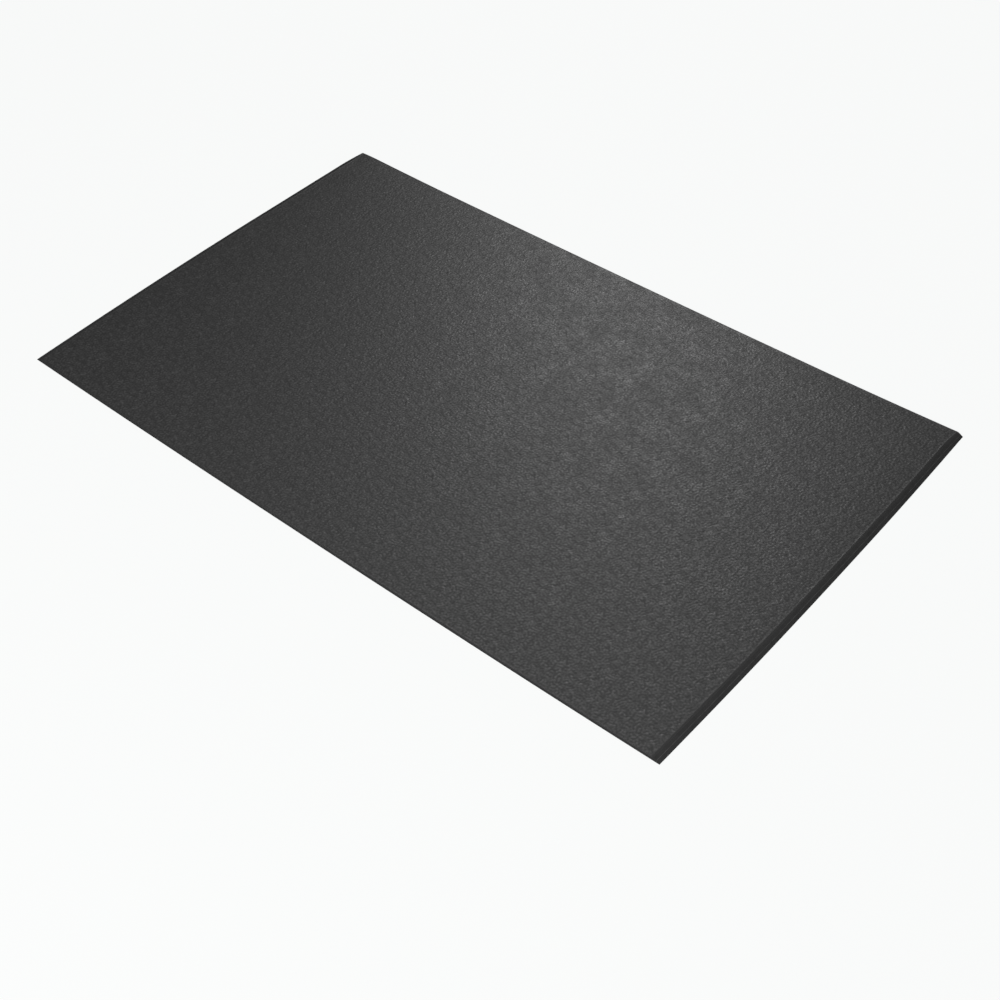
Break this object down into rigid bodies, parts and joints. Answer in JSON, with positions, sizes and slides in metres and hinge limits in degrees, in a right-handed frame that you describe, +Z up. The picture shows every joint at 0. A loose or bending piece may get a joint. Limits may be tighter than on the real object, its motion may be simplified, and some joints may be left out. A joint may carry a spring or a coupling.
{
  "type": "anti fatigue mat",
  "caption": "Rectangular foam floor mat with a pebble-embossed vinyl top, smooth bevelled short ends, square-cut long sides and a non-slip underside, for standing on.",
  "frame": {"origin": "centre of the mat's footprint, on the floor", "axes": "+X along the mat's length, towards one bevelled end; +Y across its width; +Z up, out of the standing surface"},
  "size_m": [1.5, 0.9, 0.009],
  "materials": {
    "embossed_vinyl": "satin, moulded pebble grain, charcoal",
    "soft_foam": "matte closed-cell foam, cut face",
    "firm_foam": "matte closed-cell foam, cut face",
    "mesh_yarn": "open leno weave of plastic-coated yarn",
    "grip_vinyl": "matte, fine moulded grip pattern"
  },
  "bodies": {
    "root": {"wear_surface": "embossed_vinyl", "cushion_foam": "soft_foam", "scrim_mesh": "mesh_yarn", "base_foam": "firm_foam", "grip_backing": "grip_vinyl"}
  },
  "joints": []
}
